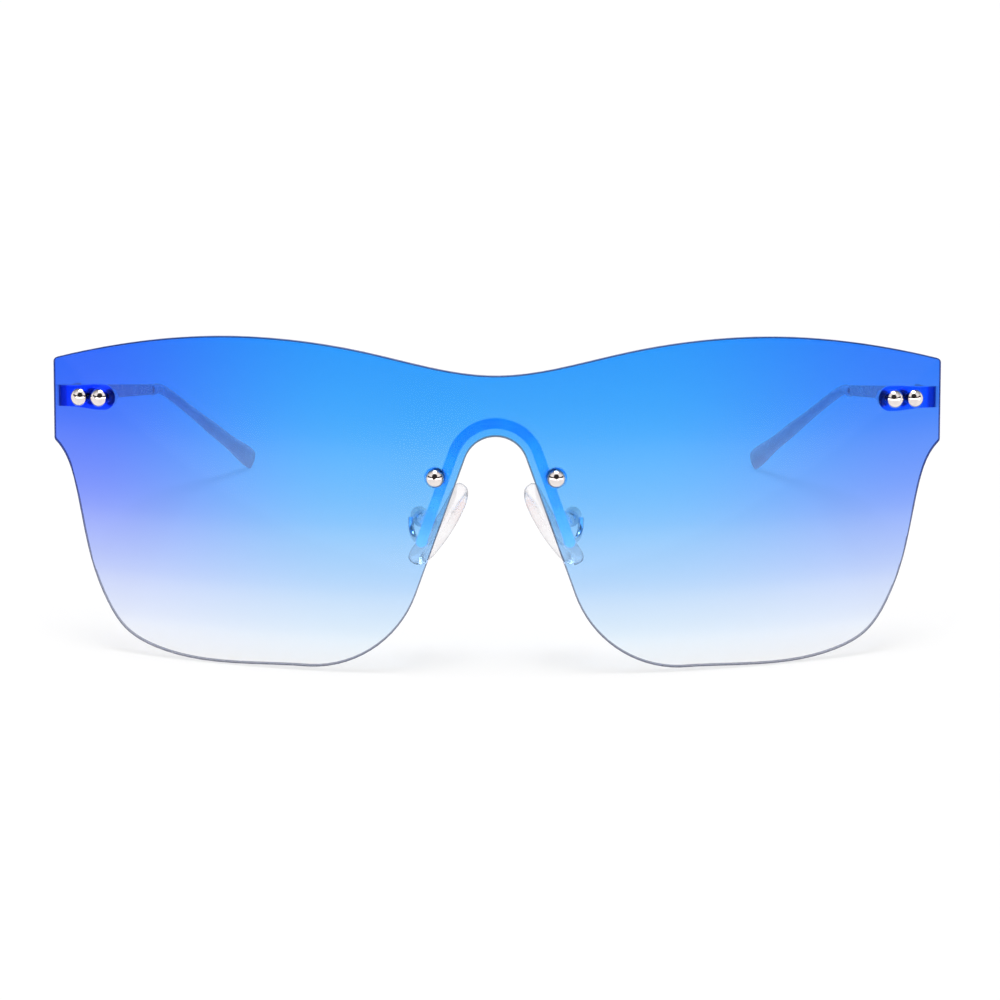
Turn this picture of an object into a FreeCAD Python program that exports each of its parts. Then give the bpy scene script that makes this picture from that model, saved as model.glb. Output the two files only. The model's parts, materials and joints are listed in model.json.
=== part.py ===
# Shield sunglasses. One curved lens is held by six domed studs: a pair at each corner through an end
# piece, and one each side of the nose through the bridge bar. The temples fold on three-knuckle hinges
# and the nose pads rock in the clasps of their arms.
# Left and right are the wearer's, and left is +X. The lens looks along -Y, the temples run back along
# +Y and +Z is up. The glasses stand as they are put down, on the lens lobes and the temple tips.

import FreeCAD, Part
import os
import Sketcher
from math import asin, atan2, cos, degrees, pi, radians, sin, sqrt, tan
from types import SimpleNamespace
from FreeCAD import Placement, Rotation, Vector

# Driving dimensions, in millimetres and degrees

SIZES = {
    # lens: a bent sheet, drawn in front view above its lowest points
    "lens_width": 148.0,
    "lens_height": 53.75,
    "lens_radius": 150.0,
    "lens_thickness": 2.0,
    "lens_top_dip": 6.0,
    "lens_corner_drop": 4.3,
    "lens_side_edge": 13.6,
    "lens_corner_radius": 0.8,
    "lens_bevel": 0.2,
    # nose cut-out: an arch below a web of lens, on two straight legs that flare out into the lobes
    "nose_web_height": 9.8,
    "nose_arch_radius": 5.2,
    "nose_leg_angle": 19.8,
    "nose_flare_radius": 18.5,
    # studs with their bushes and nuts, in a line below the lens corner
    "stud_edge_distance": 5.18,
    "stud_pitch": 3.95,
    "stud_corner_drop": 6.4,
    "stud_head_radius": 1.5,
    "stud_head_height": 0.95,
    "stud_shank_radius": 0.6,
    "stud_end_length": 0.3,
    "bush_wall": 0.25,
    "bush_flange_radius": 1.3,
    "bush_flange_thickness": 0.2,
    "nut_across_flats": 2.5,
    "nut_thickness": 0.9,
    # end pieces
    "endpiece_thickness": 1.2,
    "endpiece_lobe_height": 4.2,
    "endpiece_arm_height": 3.5,
    "endpiece_bend_radius": 2.4,
    "endpiece_edge_inset": 0.1,
    # hinges
    "hinge_setback": 11.5,
    "knuckle_radius": 1.15,
    "knuckle_height": 0.9,
    "leaf_length": 5.5,
    "leaf_thickness": 0.7,
    "hinge_screw_radius": 0.6,
    "hinge_head_radius": 0.95,
    "hinge_head_height": 0.4,
    # temples
    "temple_thickness": 1.2,
    "temple_front_height": 2.9,
    "temple_end_height": 2.0,
    "temple_slope": 3.55,
    "temple_toe_in": 3.45,
    "temple_bend_distance": 94.0,
    "temple_edge_round": 0.3,
    # ear bend, core wire and tip
    "tip_lead": 14.0,
    "ear_bend_radius": 16.0,
    "ear_bend_angle": 34.0,
    "ear_roll_angle": 42.0,
    "ear_length": 36.0,
    "core_radius": 0.55,
    "core_end_wall": 6.0,
    "tip_side_radius": 0.93,
    "tip_neck_radius": 0.98,
    "tip_flare_radius": 2.1,
    # bridge bar, with its studs below the top of the nose arch
    "bridge_edge_offset": 1.2,
    "bridge_width": 1.7,
    "bridge_thickness": 1.1,
    "bridge_leg_length": 15.5,
    "bridge_eyelet_radius": 1.7,
    "bridge_stud_spacing": 19.7,
    "bridge_stud_drop": 6.8,
    # pad arms and their clasps, which are also below the top of the nose arch
    "pad_pivot_spacing": 24.8,
    "pad_pivot_drop": 13.85,
    "pad_pivot_depth": 9.0,
    "pad_lean": 33.5,
    "pad_splay": 15.0,
    "arm_wire_radius": 0.5,
    "arm_bend_radius": 2.4,
    "arm_foot_radius": 0.8,
    "arm_foot_thickness": 0.5,
    "clasp_radius": 1.45,
    "clasp_plate": 0.5,
    "clasp_screw_radius": 0.45,
    "clasp_head_radius": 0.85,
    "clasp_head_height": 0.35,
    # nose pads and their cores
    "pad_length": 15.4,
    "pad_low_radius": 3.5,
    "pad_high_radius": 3.0,
    "pad_thickness": 2.2,
    "pad_crown_radius": 28.0,
    "pad_round": 0.8,
    "pad_standoff": 3.1,
    "pad_rise": 0.5,
    "pad_core_length": 7.0,
    "pad_core_width": 3.2,
    "pad_core_thickness": 0.8,
    "tab_thickness": 1.3,
    "tab_radius": 0.9,
    # slots, clearances and the overrun of all cuts
    "slot_width": 0.3,
    "slot_depth": 0.2,
    "seat_gap": 0.02,
    "running_clearance": 0.04,
    "fold_clearance": 0.15,
    "overrun": 5.0,
}

# Outline points as shares of the sizes that they follow
TOP_ACROSS_SHARES = (0.155, 0.284, 0.43, 0.614)
TOP_DIP_SHARES = (0.75, 0.385, 0.1, 0.0)
CORNER_ACROSS_SHARE = 0.81
CORNER_DROP_SHARE = 0.31
SIDE_ACROSS_SHARES = (0.945, 0.92, 0.903, 0.853, 0.794, 0.714, 0.597, 0.45, 0.267)
SIDE_UP_SHARES = (0.907, 0.815, 0.723, 0.446, 0.264, 0.129, 0.054, 0.014, 0.0015)
LOBE_SHARES = (0.07, 0.5, 1.45)
TIP_PLACE_SHARES = (0.0, 0.1, 0.25, 0.42, 0.6, 0.78, 0.9, 0.97, 1.0)
TIP_FLARE_SHARES = (0.06, 0.06, 0.0, 0.0, 0.2, 0.42, 0.8, 1.0, 0.85)
TIP_SIDE_SHARES = (0.9, 0.96, 1.0, 1.0, 1.0, 1.05, 1.1, 1.05, 0.75)

doc = FreeCAD.newDocument("ShieldSunglasses")
sheet = doc.addObject("Spreadsheet::Sheet", "Size")
for row, (alias, value) in enumerate(SIZES.items(), start=1):
    sheet.set(f"A{row}", alias)
    sheet.set(f"B{row}", str(value))
    sheet.setAlias(f"B{row}", alias)
doc.recompute()
size = SimpleNamespace(**{alias: float(sheet.get(alias)) for alias in SIZES})

AXIS_X = Vector(1, 0, 0)
AXIS_Y = Vector(0, 1, 0)
AXIS_Z = Vector(0, 0, 1)
placed = []


# Ways of making a piece

def new_body(label, place=None):
    """Starts a solid and notes where it belongs on the upright glasses."""
    body = doc.addObject("PartDesign::Body", label)
    body.Label = label
    body.Placement = place or Placement()
    placed.append((body, body.Placement))
    return body


def new_sketch(body, name, role, offset=None):
    """Starts a sketch on one of the body's own planes, shifted or turned by offset."""
    plane = next(item for item in body.Origin.OriginFeatures if item.Role == role)
    sketch = body.newObject("Sketcher::SketchObject", name)
    sketch.AttachmentSupport = [(plane, "")]
    sketch.MapMode = "FlatFace"
    if offset:
        sketch.AttachmentOffset = offset
    return sketch


def coordinate(sketch, entry):
    """The value of a coordinate that is a number or an expression in sizes."""
    return float(sketch.evalExpression(entry)) if isinstance(entry, str) else entry


def sketch_point(sketch, point):
    return Vector(coordinate(sketch, point[0]), coordinate(sketch, point[1]), 0)


def hold_point(sketch, curve, end, point):
    """Holds one end of a curve at a point, bound to the sizes where the point names them."""
    for kind, entry in zip(("DistanceX", "DistanceY"), point):
        value = coordinate(sketch, entry)
        index = sketch.addConstraint(Sketcher.Constraint(kind, curve, end, value))
        if isinstance(entry, str):
            sketch.setExpression(f"Constraints[{index}]", entry)


def end_at(sketch, curve, place):
    """Which end of a sketch curve lies at a place: 1 is its start and 2 its finish."""
    return min((1, 2), key=lambda end: (sketch.getPoint(curve, end) - place).Length)


def trace(sketch, start, *steps, closed=True):
    """Draws an outline from start. A step of one point is a line, a step of two is an arc through the
    first to the second, and a longer step is a smooth curve through its points."""
    corners = [start] + [step[-1] for step in steps]
    curves = []
    for here, step in zip(corners, steps):
        points = [sketch_point(sketch, point) for point in (here, *step)]
        if len(points) == 2:
            shape = Part.LineSegment(*points)
        elif len(points) == 3:
            shape = Part.Arc(*points)
        else:
            shape = Part.BSplineCurve()
            shape.interpolate(points)
        curves.append(sketch.addGeometry(shape))
        hold_point(sketch, curves[-1], end_at(sketch, curves[-1], points[0]), here)
        if len(points) == 3:
            middle = sketch.addGeometry(Part.Point(points[1]), True)
            hold_point(sketch, middle, 1, step[0])
            sketch.addConstraint(Sketcher.Constraint("PointOnObject", middle, 1, curves[-1]))
    followers = curves[1:] + curves[:1] if closed else curves[1:]
    for curve, follower, corner in zip(curves, followers, corners[1:]):
        place = sketch_point(sketch, corner)
        ends = end_at(sketch, curve, place), end_at(sketch, follower, place)
        sketch.addConstraint(Sketcher.Constraint("Coincident", curve, ends[0], follower, ends[1]))
    if not closed:
        place = sketch_point(sketch, corners[-1])
        hold_point(sketch, curves[-1], end_at(sketch, curves[-1], place), corners[-1])
    return sketch


def trace_circle(sketch, centre, radius):
    """Draws a circle of a radius given as an expression in sizes."""
    value = coordinate(sketch, radius)
    curve = sketch.addGeometry(Part.Circle(sketch_point(sketch, centre), AXIS_Z, value))
    hold_point(sketch, curve, 3, centre)
    index = sketch.addConstraint(Sketcher.Constraint("Radius", curve, value))
    sketch.setExpression(f"Constraints[{index}]", radius)
    return sketch


def trace_box(sketch, low, high):
    """Draws an upright rectangle between two corners."""
    corners = [(high[0], low[1])], [high], [(low[0], high[1])], [low]
    return trace(sketch, low, *corners)


def pad(body, sketch, length, both_ways=False, backwards=False):
    """Raises a sketch into a solid."""
    feature = body.newObject("PartDesign::Pad", sketch.Name + "_pad")
    feature.Profile = sketch
    feature.setExpression("Length", length)
    feature.SideType = "Symmetric" if both_ways else "One side"
    feature.Reversed = backwards
    doc.recompute()
    return feature


def pocket(body, sketch, length=None, backwards=False):
    """Cuts a sketch to a depth, or right through both ways, and sees that something was cut."""
    before = body.Shape.Volume
    feature = body.newObject("PartDesign::Pocket", sketch.Name + "_pocket")
    feature.Profile = sketch
    feature.Reversed = backwards
    if length:
        feature.setExpression("Length", length)
    else:
        feature.Type = "ThroughAll"
        feature.SideType = "Symmetric"
    doc.recompute()
    assert body.Shape.Volume < before, sketch.Name
    return feature


def drill(body, name, place, radius, depth):
    """Cuts a round hole along the Y axis of a place, which is its middle."""
    cutter = body.newObject("PartDesign::SubtractiveCylinder", name)
    cutter.setExpression("Radius", radius)
    cutter.setExpression("Height", depth)
    middle = Placement(Vector(0, 0, -coordinate(cutter, depth) / 2), Rotation())
    cutter.Placement = place * Placement(Vector(), Rotation(AXIS_X, 90)) * middle
    doc.recompute()
    return cutter


def turned(label, place, start, *steps):
    """A round piece, turned about its own Y axis from a half profile in radius and length."""
    body = new_body(label, place)
    sketch = trace(new_sketch(body, label + "_profile", "XY_Plane"), start, *steps)
    feature = body.newObject("PartDesign::Revolution", label + "_turned")
    feature.Profile = sketch
    feature.ReferenceAxis = (sketch, ["V_Axis"])
    doc.recompute()
    return body


def dress(body, kind, name, edges, amount_name, amount):
    """Rounds or bevels the edges of the body's last feature that a test picks."""
    base = body.Tip
    names = [f"Edge{i}" for i, edge in enumerate(base.Shape.Edges, start=1) if edges(edge)]
    feature = body.newObject("PartDesign::" + kind, name)
    feature.Base = (base, names)
    feature.setExpression(amount_name, amount)
    doc.recompute()
    return feature


def gather(label, *pieces):
    """Puts like fasteners under one name as separate solids."""
    group = doc.addObject("Part::Compound", label)
    group.Label = label
    group.Links = list(pieces)
    return group


def opposite(label, piece):
    """The same piece on the right-hand side."""
    mirror = doc.addObject("Part::Mirroring", label)
    mirror.Label = label
    mirror.Source = piece
    mirror.Normal = AXIS_X
    return mirror


def is_straight_back(edge):
    """True for a straight edge that runs along Y."""
    ends = edge.Vertexes[0].Point, edge.Vertexes[-1].Point
    return edge.Curve.TypeId == "Part::GeomLine" and abs((ends[1] - ends[0]).normalize().y) > cos(pi / 8)


# Places on the lens: a station looks out along its own -Y, at its own height

half_width = size.lens_width / 2
stud_line_height = size.lens_height - size.lens_corner_drop - size.stud_corner_drop
arch_height = size.lens_height - size.lens_top_dip - size.nose_web_height
bridge_stud_height = arch_height - size.bridge_stud_drop
pad_pivot_height = arch_height - size.pad_pivot_drop
edge_turn = asin(half_width / size.lens_radius)
lens_edge_depth = size.lens_radius * (1 - cos(edge_turn))


def station(turn, height, depth=0.0):
    """The place on the lens at an angle round its curve, sunk by a depth below the front face."""
    reach = size.lens_radius - depth
    foot = Vector(reach * sin(turn), size.lens_radius - reach * cos(turn), height)
    return Placement(foot, Rotation(AXIS_Z, degrees(turn)))


outer_turn = edge_turn - size.stud_edge_distance / size.lens_radius
inner_turn = outer_turn - size.stud_pitch / size.lens_radius
nose_turn = asin(size.bridge_stud_spacing / 2 / size.lens_radius)
end_stations = [station(outer_turn, stud_line_height), station(inner_turn, stud_line_height)]
nose_station = station(nose_turn, bridge_stud_height)
left_stations = end_stations + [nose_station]
right_turns = [(-outer_turn, stud_line_height), (-inner_turn, stud_line_height)]
right_stations = [station(*place) for place in right_turns + [(-nose_turn, bridge_stud_height)]]
plate_front = size.lens_thickness + size.seat_gap


def bend_to_lens(body, depth, thickness):
    """Cuts a piece down to a sheet that follows the lens, a depth behind its front face."""
    sketch = new_sketch(body, body.Name + "_sheet", "XY_Plane")
    centre = size.lens_radius
    reach = half_width + size.overrun
    front = centre - depth
    back = front - thickness
    front_end = (reach, centre - sqrt(front**2 - reach**2))
    back_end = (reach, centre - sqrt(back**2 - reach**2))
    front_start = (-reach, front_end[1])
    back_start = (-reach, back_end[1])
    front_arc = [(0, depth), front_end]
    back_arc = [(0, depth + thickness), back_start]
    trace(sketch, front_start, front_arc, [back_end], back_arc, [front_start])
    side = reach + size.overrun
    trace_box(sketch, (-side, -size.overrun), (side, centre + size.overrun))
    return pocket(body, sketch)


# The nose cut-out is shared by the lens and the bridge bar

leg_turn = radians(size.nose_leg_angle)
leg_way = Vector(sin(leg_turn), -cos(leg_turn), 0)
leg_side = Vector(cos(leg_turn), sin(leg_turn), 0)
arch_centre = Vector(0, arch_height - size.nose_arch_radius, 0)


def leg_top(offset):
    """Where the arch, moved out by an offset, runs into its left leg."""
    return arch_centre + leg_side * (size.nose_arch_radius + offset)


def arch_top(offset):
    return 0, arch_height + offset


def flat(vector):
    return vector.x, vector.y


def flip(point):
    """The same point on the right-hand side."""
    return f"-({point[0]})" if isinstance(point[0], str) else -point[0], point[1]


# The flare arc touches the leg and the level of the lobes' lowest points
flare_turn = pi / 2 - leg_turn
flare_run = (leg_top(0).y - size.nose_flare_radius * (1 - sin(leg_turn))) / cos(leg_turn)
flare_start = leg_top(0) + leg_way * flare_run
flare_centre = flare_start + leg_side * size.nose_flare_radius
flare_middle = flare_centre - Vector(cos(leg_turn + flare_turn / 2), sin(leg_turn + flare_turn / 2), 0) * (
    size.nose_flare_radius
)
lobe_point = flare_centre - AXIS_Y * size.nose_flare_radius

# Lens

half = "Size.lens_width / 2"
corner_height = "Size.lens_height - Size.lens_corner_drop"
edge_foot_height = corner_height + " - Size.lens_side_edge"
corner = (half, corner_height)
edge_foot = (half, edge_foot_height)
dip = (0, "Size.lens_height - Size.lens_top_dip")
top_left = [
    (f"{half} * {across}", f"Size.lens_height - Size.lens_top_dip * {down}")
    for across, down in zip(TOP_ACROSS_SHARES, TOP_DIP_SHARES)
]
corner_run_drop = f"Size.lens_corner_drop * {CORNER_DROP_SHARE}"
top_left.append((f"{half} * {CORNER_ACROSS_SHARE}", f"Size.lens_height - {corner_run_drop}"))
side_left = [
    (f"{lobe_point.x} + ({half} - {lobe_point.x}) * {across}", f"({edge_foot_height}) * {up}")
    for across, up in zip(SIDE_ACROSS_SHARES, SIDE_UP_SHARES)
]
top_right = [flip(point) for point in reversed(top_left)]
side_right = [flip(point) for point in reversed(side_left)]
lobe = flat(lobe_point)
flare_arc_left = [flat(flare_middle), flat(flare_start)]
flare_arc_right = [flip(flat(flare_middle)), flip(lobe)]
leg_head = flat(leg_top(0))

lens = new_body("shield_lens")
lens_front = new_sketch(lens, "lens_front", "XZ_Plane")
trace(
    lens_front,
    flip(corner),
    [*top_right, dip, *top_left, corner],
    [edge_foot],
    [*side_left, lobe],
    flare_arc_left,
    [leg_head],
    [arch_top(0), flip(leg_head)],
    [flip(flat(flare_start))],
    flare_arc_right,
    [*side_right, flip(edge_foot)],
    [flip(corner)],
)
pad(lens, lens_front, "Size.lens_radius", backwards=True)
bend_to_lens(lens, 0, size.lens_thickness)


def is_lens_corner(edge):
    return is_straight_back(edge) and abs(edge.BoundBox.XMax) > half_width - size.seat_gap


dress(lens, "Fillet", "lens_corners", is_lens_corner, "Radius", "Size.lens_corner_radius")
dress(lens, "Chamfer", "lens_bevels", lambda edge: not is_straight_back(edge), "Size", "Size.lens_bevel")
for number, place in enumerate(left_stations + right_stations):
    bore = "Size.stud_shank_radius + Size.bush_wall + 2 * Size.running_clearance"
    drill(lens, f"lens_hole_{number}", place, bore, "4 * Size.lens_thickness")
print("lens volume", round(lens.Shape.Volume, 1))

# Studs, bushes and nuts, one set for each hole


def stud(label, place, plate):
    """A screw with a low domed head, long enough for the lens, a plate behind it and the nut."""
    head = -size.bush_flange_thickness - size.seat_gap
    end = plate_front + plate + size.seat_gap + size.nut_thickness + size.stud_end_length
    dome_radius = (size.stud_head_radius**2 + size.stud_head_height**2) / (2 * size.stud_head_height)
    dome_turn = asin(size.stud_head_radius / dome_radius) / 2
    dome_centre = head - size.stud_head_height + dome_radius
    dome = dome_radius * sin(dome_turn), dome_centre - dome_radius * cos(dome_turn)
    shank = "Size.stud_shank_radius"
    return turned(
        label,
        place,
        (0, end),
        [(shank, end)],
        [(shank, head)],
        [("Size.stud_head_radius", head)],
        [dome, (0, head - size.stud_head_height)],
        [(0, end)],
    )


def bush(label, place):
    """A clear sleeve in the lens hole, with a flange under the stud's head."""
    bore = "Size.stud_shank_radius + Size.running_clearance"
    outside = bore + " + Size.bush_wall"
    flange = "Size.bush_flange_radius"
    front = "-Size.bush_flange_thickness"
    back = "Size.lens_thickness"
    corners = [(outside, back)], [(outside, 0)], [(flange, 0)], [(flange, front)], [(bore, front)]
    return turned(label, place, (bore, back), *corners, [(bore, back)])


def nut(label, place, plate):
    """A hexagon nut that bears on the back of the plate."""
    body = new_body(label, place * Placement(AXIS_Y * (plate_front + plate + size.seat_gap), Rotation()))
    sketch = new_sketch(body, label + "_hexagon", "XZ_Plane")
    corner_radius = size.nut_across_flats / 2 / cos(pi / 6)
    corners = [(corner_radius * cos(turn * pi / 3), corner_radius * sin(turn * pi / 3)) for turn in range(6)]
    trace(sketch, corners[0], *[[point] for point in corners[1:]], [corners[0]])
    trace_circle(sketch, (0, 0), "Size.stud_shank_radius + Size.running_clearance")
    pad(body, sketch, "Size.nut_thickness", backwards=True)
    return body


end_names = ["outer", "inner"]
end_holes = list(zip(end_names, end_stations))
end_studs = [stud(f"end_stud_{name}", place, size.endpiece_thickness) for name, place in end_holes]
end_bushes = [bush(f"end_bush_{name}", place) for name, place in end_holes]
end_nuts = [nut(f"end_nut_{name}", place, size.endpiece_thickness) for name, place in end_holes]
nose_stud = stud("nose_stud", nose_station, size.bridge_thickness)
nose_bush = bush("nose_bush", nose_station)
nose_nut = nut("nose_nut", nose_station, size.bridge_thickness)

# End piece: a strip that lies behind the lens corner and bends back to the hinge

leg_outside = half_width - size.endpiece_edge_inset
leg_inside = leg_outside - size.endpiece_thickness
hinge_x = leg_inside - size.knuckle_radius - size.fold_clearance
hinge_y = lens_edge_depth + size.hinge_setback
butt_gap = size.fold_clearance / 2
strip_front = size.lens_radius - plate_front
strip_back = strip_front - size.endpiece_thickness
lens_centre = Vector(0, size.lens_radius, 0)
bend_x = leg_outside - size.endpiece_bend_radius
bend_y = size.lens_radius - sqrt((strip_front - size.endpiece_bend_radius) ** 2 - bend_x**2)
bend_centre = Vector(bend_x, bend_y, 0)
bend_turn = asin(bend_x / (strip_front - size.endpiece_bend_radius))
strip_end_turn = inner_turn - size.endpiece_lobe_height / size.lens_radius


def on_strip(radius, turn):
    """A point of the strip's plan, at an angle round the lens curve."""
    return flat(lens_centre + Vector(sin(turn), -cos(turn), 0) * radius)


def on_bend(radius, turn):
    """A point of the strip's bend, from the lens curve at the bend's start to straight back."""
    return flat(bend_centre + Vector(sin(turn), -cos(turn), 0) * radius)


middle_turn = (strip_end_turn + bend_turn) / 2
half_bend = (bend_turn + pi / 2) / 2
bend_inside = size.endpiece_bend_radius - size.endpiece_thickness
strip_finish = hinge_y - butt_gap
endpiece = new_body("endpiece_left", Placement(AXIS_Z * stud_line_height, Rotation()))
strip_plan = new_sketch(endpiece, "strip_plan", "XY_Plane")
trace(
    strip_plan,
    on_strip(strip_front, strip_end_turn),
    [on_strip(strip_front, middle_turn), on_strip(strip_front, bend_turn)],
    [on_bend(size.endpiece_bend_radius, half_bend), (leg_outside, bend_y)],
    [(leg_outside, strip_finish)],
    [(leg_inside, strip_finish)],
    [(leg_inside, bend_y)],
    [on_bend(bend_inside, half_bend), on_strip(strip_back, bend_turn)],
    [on_strip(strip_back, middle_turn), on_strip(strip_back, strip_end_turn)],
    [on_strip(strip_front, strip_end_turn)],
)
pad(endpiece, strip_plan, "Size.endpiece_lobe_height", both_ways=True)

# In front view the strip has a round lobe at the inner stud and narrows to the arm past the outer one,
# at shares of the way from the inner stud to the outer
strip_view = new_sketch(endpiece, "strip_view", "XZ_Plane")
lobe_half = "Size.endpiece_lobe_height / 2"
arm_half = "Size.endpiece_arm_height / 2"
lobe_x, taper_x, arm_x = [
    strip_front * sin(inner_turn + (outer_turn - inner_turn) * share) for share in LOBE_SHARES
]
beyond = leg_outside + size.overrun
lobe_low = (lobe_x, f"-({lobe_half})")
lobe_end = (f"{lobe_x} - {lobe_half}", 0)
trace(
    strip_view,
    lobe_low,
    [lobe_end, (lobe_x, lobe_half)],
    [(taper_x, lobe_half)],
    [(arm_x, arm_half)],
    [(beyond, arm_half)],
    [(beyond, f"-({arm_half})")],
    [(arm_x, f"-({arm_half})")],
    [(taper_x, f"-({lobe_half})")],
    [lobe_low],
)
view_low = lobe_x - size.endpiece_lobe_height - size.overrun
view_height = size.endpiece_lobe_height + size.overrun
trace_box(strip_view, (view_low, -view_height), (beyond + size.overrun, view_height))
pocket(endpiece, strip_view)

# In side view the leg behind the bend slopes from the arm's top down to the temple's, its foot level
leg_view = new_sketch(endpiece, "leg_view", "YZ_Plane")
leg_top_height = f"Size.temple_front_height - {arm_half}"
leg_sky = size.endpiece_arm_height + size.overrun
leg_beyond = strip_finish + size.overrun
trace(
    leg_view,
    (bend_y, arm_half),
    [(strip_finish, leg_top_height)],
    [(leg_beyond, leg_top_height)],
    [(leg_beyond, leg_sky)],
    [(bend_y, leg_sky)],
    [(bend_y, arm_half)],
)
pocket(endpiece, leg_view)
shank_hole = "Size.stud_shank_radius + Size.running_clearance"
for name, place in end_holes:
    level = Placement(AXIS_Z * -stud_line_height, Rotation()) * place
    hole_depth = "4 * (Size.lens_thickness + Size.endpiece_thickness)"
    drill(endpiece, f"strip_hole_{name}", level, shank_hole, hole_depth)

# Hinge: two knuckles on the end piece take the temple's one between them

hinge_drop = (size.endpiece_arm_height - size.temple_front_height) / 2
hinge_place = Placement(Vector(hinge_x, hinge_y, stud_line_height - hinge_drop), Rotation())
temple_place = hinge_place * Placement(Vector(), Rotation(AXIS_Z, size.temple_toe_in))
knuckle = size.knuckle_radius
leaf_face = knuckle + size.fold_clearance
leaf_back = leaf_face - size.leaf_thickness
hinge_height = "3 * Size.knuckle_height + 2 * Size.running_clearance"


def hinge_leaf(label, place, way):
    """A leaf that lies on the inner face of a strip, with a rolled knuckle on the hinge axis. It runs
    forwards from the axis where way is -1, and back where way is 1."""
    body = new_body(label, place)
    sketch = new_sketch(body, label + "_plan", "XY_Plane")
    slant = knuckle * sin(pi / 4)
    trace(
        sketch,
        (leaf_face, 0),
        [(leaf_face, "Size.leaf_length" if way > 0 else "-Size.leaf_length")],
        [(leaf_back, way * size.leaf_length)],
        [(leaf_back, way * size.leaf_length / 2)],
        [(-slant, way * slant)],
        [(-slant, -way * slant), (knuckle, 0)],
        [(leaf_face, 0)],
    )
    pad(body, sketch, hinge_height, both_ways=True)
    axis = Placement(Vector(), Rotation(AXIS_X, -90))
    bore = "Size.hinge_screw_radius + Size.running_clearance"
    drill(body, label + "_bore", axis, bore, f"2 * ({hinge_height})")
    return body, axis


room = "Size.knuckle_radius + Size.fold_clearance"
front_hinge, hinge_axis = hinge_leaf("front_hinge_left", hinge_place, -1)
drill(front_hinge, "knuckle_gap", hinge_axis, room, "Size.knuckle_height + 2 * Size.running_clearance")
temple_hinge, hinge_axis = hinge_leaf("temple_hinge_left", temple_place, 1)
for name, side in (("upper", 1), ("lower", -1)):
    shift = side * (size.knuckle_height + size.overrun) / 2
    level = Placement(AXIS_Z * shift, Rotation()) * hinge_axis
    drill(temple_hinge, f"knuckle_room_{name}", level, room, "Size.overrun")


def slotted_screw(label, place, shank, length, head, head_height):
    """A screw with a flat slotted head, its seat at the origin and its shank along +Y."""
    body = turned(
        label,
        place,
        (0, length),
        [(shank, length)],
        [(shank, 0)],
        [(head, 0)],
        [(head, f"-{head_height}")],
        [(0, f"-{head_height}")],
        [(0, length)],
    )
    sketch = new_sketch(body, label + "_slot", "XY_Plane")
    half_slot = "Size.slot_width / 2"
    slot_top = f"-{head_height} - Size.overrun"
    slot_floor = f"-{head_height} + Size.slot_depth"
    trace_box(sketch, (f"-{half_slot}", slot_top), (half_slot, slot_floor))
    pocket(body, sketch)
    return body


screw_seat = 1.5 * size.knuckle_height + size.running_clearance + size.seat_gap
hinge_screw = slotted_screw(
    "hinge_screw_left",
    hinge_place * Placement(AXIS_Z * -screw_seat, Rotation(AXIS_X, 90)),
    "Size.hinge_screw_radius",
    hinge_height,
    "Size.hinge_head_radius",
    "Size.hinge_head_height",
)

# Temple: a tapered bar whose core wire goes on into the tip, down and in behind the ear

slope = radians(size.temple_slope)
bar_middle = leaf_face + size.temple_thickness / 2
bar_end = size.temple_bend_distance - size.tip_lead
bar_way = Vector(0, cos(slope), -sin(slope))
bar_down = Vector(0, -sin(slope), -cos(slope))
roll = radians(size.ear_roll_angle)
ear_side = bar_down * cos(roll) - AXIS_X * sin(roll)
core_start = Vector(bar_middle, bar_end, -bar_end * tan(slope))
core_plane = Placement(core_start, Rotation(bar_way, ear_side, bar_way.cross(ear_side), "XYZ"))
ear_turn = radians(size.ear_bend_angle)
ear_tangent = size.ear_bend_radius * tan(ear_turn / 2)
bend_start = size.tip_lead / cos(slope) - ear_tangent
bend_length = size.ear_bend_radius * ear_turn
tip_length = bend_start + bend_length + size.ear_length - ear_tangent


def along_ear(distance):
    """The place and direction of the core wire at a distance, in the plane of the ear bend."""
    if distance <= bend_start:
        return Vector(distance, 0, 0), 0.0
    turn = min((distance - bend_start) / size.ear_bend_radius, ear_turn)
    after = max(0.0, distance - bend_start - bend_length)
    round_bend = Vector(sin(turn), 1 - cos(turn), 0) * size.ear_bend_radius
    return Vector(bend_start, 0, 0) + round_bend + Vector(cos(turn), sin(turn), 0) * after, turn


def ear_wire(body, radius, length):
    """Adds a round wire along the ear bend, up to a length."""
    path = new_sketch(body, body.Name + "_path", "XY_Plane", core_plane)
    stops = [bend_start, bend_start + bend_length / 2, bend_start + bend_length, length]
    points = [flat(along_ear(stop)[0]) for stop in stops]
    trace(path, (0, 0), [points[0]], [points[1], points[2]], [points[3]], closed=False)
    section_place = Placement(core_start, Rotation(ear_side, bar_way.cross(ear_side), bar_way, "XYZ"))
    section = new_sketch(body, body.Name + "_section", "XY_Plane", section_place)
    trace_circle(section, (0, 0), radius)
    doc.recompute()
    pipe = body.newObject("PartDesign::AdditivePipe", body.Name + "_wire")
    pipe.Profile = section
    pipe.Spine = (path, ["Edge1", "Edge2", "Edge3"])
    doc.recompute()


temple = new_body("temple_left", temple_place)
bar_side = new_sketch(temple, "bar_side", "YZ_Plane", Placement(AXIS_Z * leaf_face, Rotation()))
bar_half = "Size.temple_front_height / 2"
end_low = core_start + bar_down * (size.temple_end_height / 2)
end_high = core_start - bar_down * (size.temple_end_height / 2)
trace(
    bar_side,
    (butt_gap, f"-{bar_half}"),
    [(end_low.y, end_low.z)],
    [(end_high.y, end_high.z)],
    [(butt_gap, bar_half)],
    [(butt_gap, f"-{bar_half}")],
)
pad(temple, bar_side, "Size.temple_thickness")
dress(temple, "Fillet", "bar_rounds", is_straight_back, "Radius", "Size.temple_edge_round")
core_length = tip_length - size.core_end_wall
ear_wire(temple, "Size.core_radius", core_length)

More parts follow.
